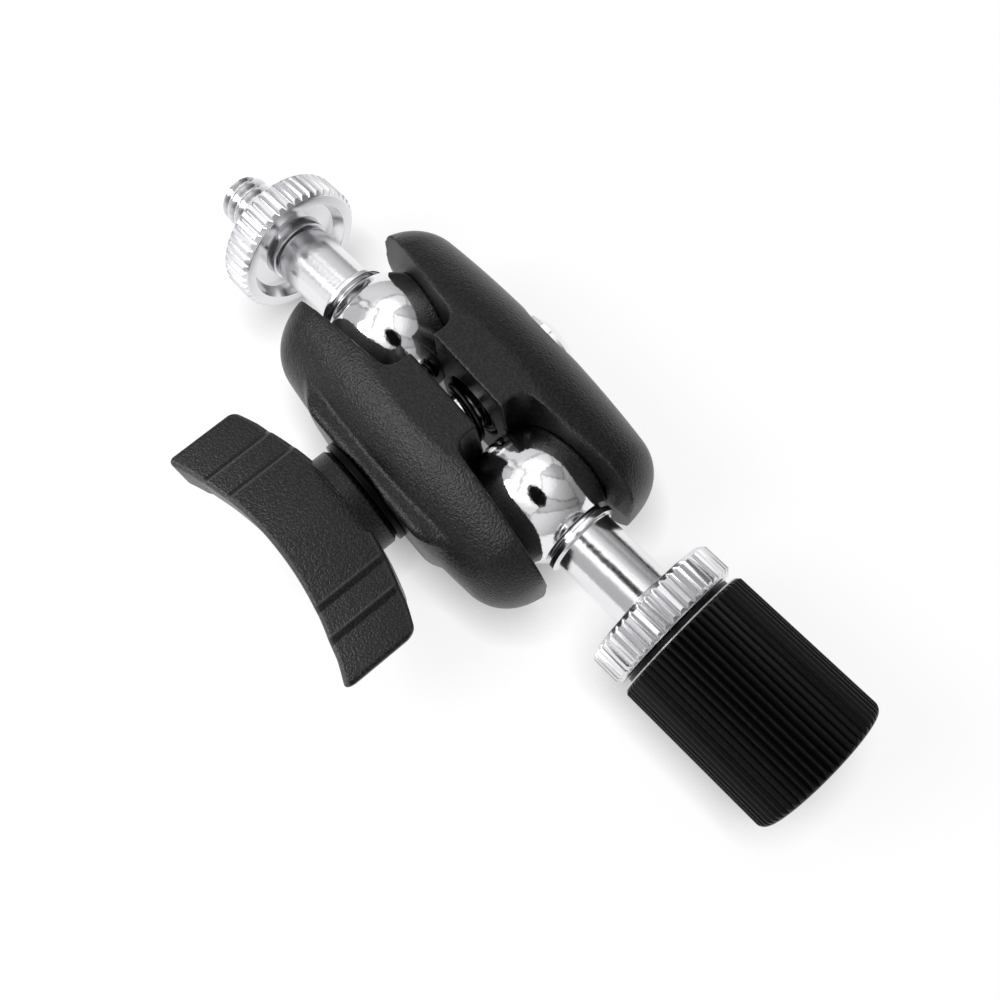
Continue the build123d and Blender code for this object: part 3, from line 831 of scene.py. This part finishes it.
def white_tent():
    """A world of sewn white cloth, brightest overhead and toward the key; a camera sees it plain white.

    Its panels are Voronoi cells bent by noise, with darker seams. Metal mirrors the cloth at its full
    glow and everything else is lit by half of that."""
    world = bpy.data.worlds.new("white_tent")
    world.use_nodes = True
    tree = world.node_tree
    view = add(tree, "ShaderNodeTexCoord").outputs["Generated"]
    wrinkle = add(tree, "ShaderNodeTexNoise", {"Scale": 3.0, "Detail": 3.0}, {"Vector": view})
    hang = {"A": view, "B": wrinkle.outputs["Color"]}
    bent = add(tree, "ShaderNodeMix", {"Factor": 0.12}, hang, data_type="VECTOR").outputs["Result"]
    size = {"Scale": TENT_PANELS}
    cloth = add(tree, "ShaderNodeTexVoronoi", size, {"Vector": bent}).outputs["Color"]
    seam = add(tree, "ShaderNodeTexVoronoi", size, {"Vector": bent}, feature="DISTANCE_TO_EDGE")
    overhead = add(tree, "ShaderNodeVectorMath", {1: ROOF_SIDE}, {0: bent}, operation="DOT_PRODUCT")
    toward_key = add(tree, "ShaderNodeVectorMath", {1: KEY_SIDE}, {0: view}, operation="DOT_PRODUCT")
    ray = add(tree, "ShaderNodeLightPath").outputs
    soft = {"interpolation_type": "SMOOTHSTEP"}
    panel = add(tree, "ShaderNodeMapRange", {"To Min": 0.42, "To Max": 1.10}, {"Value": cloth})
    bright = {"From Min": 0.66, "From Max": 0.86, "To Min": 1.0, "To Max": 1.7}
    roof = add(tree, "ShaderNodeMapRange", bright, {"Value": overhead.outputs["Value"]}, **soft)
    sewn = {"From Max": 0.03, "To Min": 0.40, "To Max": 1.0}
    stitch = add(tree, "ShaderNodeMapRange", sewn, {"Value": seam.outputs["Distance"]})
    shaded = {"From Min": -0.45, "From Max": 0.50, "To Min": 0.35, "To Max": 1.0}
    fall = add(tree, "ShaderNodeMapRange", shaded, {"Value": toward_key.outputs["Value"]}, **soft)
    half = {"To Min": 0.50, "To Max": 1.0}
    share = add(tree, "ShaderNodeMapRange", half, {"Value": ray["Is Glossy Ray"]})
    glow = panel.outputs["Result"]
    for factor in (roof, stitch, fall, share):
        both = {0: glow, 1: factor.outputs["Result"]}
        glow = add(tree, "ShaderNodeMath", links=both, operation="MULTIPLY").outputs["Value"]
    seen = {"Factor": ray["Is Camera Ray"], "A": glow}
    plain = add(tree, "ShaderNodeMix", {"B": 1.0}, seen).outputs["Result"]
    background = tree.nodes["Background"].inputs
    background["Color"].default_value = (1, 1, 1, 1)
    tree.links.new(plain, background["Strength"])
    return world


def photo_camera():
    """The photograph's camera, from its fitted place, directions and focal length."""
    data = bpy.data.cameras.new("photo_camera")
    data.lens = CAMERA_LENS
    data.sensor_width = CAMERA_FRAME
    data.clip_start = 0.005
    camera = bpy.data.objects.new("photo_camera", data)
    turn = Matrix(np.column_stack([CAMERA_RIGHT, -CAMERA_DOWN, -CAMERA_FORWARD]).tolist()).to_4x4()
    camera.matrix_world = Matrix.Translation(((CLAMP + CAMERA_AT) * MM).tolist()) @ turn
    scene.collection.objects.link(camera)
    return camera


nylon = moulded_nylon()
ball_chrome = plated_chrome("bright_chrome", 0.04, 0.12, 0.5)
stud_chrome = plated_chrome("turned_chrome", 0.10, 0.24, 0.6)
knurl = plated_knurl()
anodised = black_anodised()
# painted shade: the spring's steel colour is painted dark for the shaded gap between the jaws
spring_steel = drawn_metal("spring_steel", "#404042", 0.28, 0.42)
washer_steel = drawn_metal("blackened_steel", "#121213", 0.30, 0.45)
paint("knob_insert", drawn_metal("turned_brass", "#c6a15a", 0.20, 0.32))

upper_ball = [ball_grid(TOP_CENTRE, TOP_AXIS)]
lower_ball = [ball_grid(BASE_CENTRE, BASE_AXIS)]
upper_nut = [nut_grid(TOP_CENTRE, TOP_AXIS)]
lower_nut = [nut_grid(BASE_CENTRE, BASE_AXIS)]
sleeve = [sleeve_grid(BASE_CENTRE, BASE_AXIS)]
wing = [wing_grid(), hub_grid()]
pieces = {
    "knob_side_jaw": moulded("near_jaw", "knob_side_jaw", "clamp_base", nylon),
    "bolt_side_jaw": moulded("far_jaw", "bolt_side_jaw", "moving_jaw", nylon),
    "clamp_bolt": grid_piece("coach_bolt", bolt_grids(), ball_chrome, "moving_jaw"),
    "knob_washer": grid_piece("flat_washer", [washer_grid()], washer_steel, "clamp_base"),
    "wing_knob": grid_piece("bowed_wing", wing, nylon, "knob", sharp=40.0, mark="rub", plain=0.0),
    "top_ball": grid_piece("upper_ball", upper_ball, ball_chrome, "top_swivel"),
    "top_stud": grid_piece("upper_stud", [top_stud_grid()], stud_chrome, "top_shaft"),
    "top_lock_nut": grid_piece("upper_nut", upper_nut, knurl, "top_nut"),
    "base_ball": grid_piece("lower_ball", lower_ball, ball_chrome, "base_swivel"),
    "base_stud": grid_piece("lower_stud", [base_stud_grid()], stud_chrome, "base_shaft"),
    "base_lock_nut": grid_piece("lower_nut", lower_nut, knurl, "base_nut"),
    "base_sleeve": grid_piece("fluted_sleeve", sleeve, anodised, "base_coupling"),
}
spring = grid_piece("coil_spring", [spring_grid()], spring_steel, None)
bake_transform(spring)
pieces["opening_spring"] = spring
for node, piece in pieces.items():
    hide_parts(node)

# Stage, light and camera
scene.view_settings.view_transform = "Standard"
paper_floor()
scene.world = white_tent()
softbox("key", KEY_SIDE, distance=0.45, width=0.24, height=0.20, glow=8.0)
dark_cloth = black_cloth()
card("far_flag", FLAG_SIDE, distance=0.30, width=0.30, height=0.04, material=dark_cloth)
hood_distance = (np.linalg.norm(CAMERA_AT) + HOOD_BEHIND) * MM
card("lens_hood", CAMERA_AT, hood_distance, width=0.088, height=0.050, material=dark_cloth)
scene.camera = photo_camera()
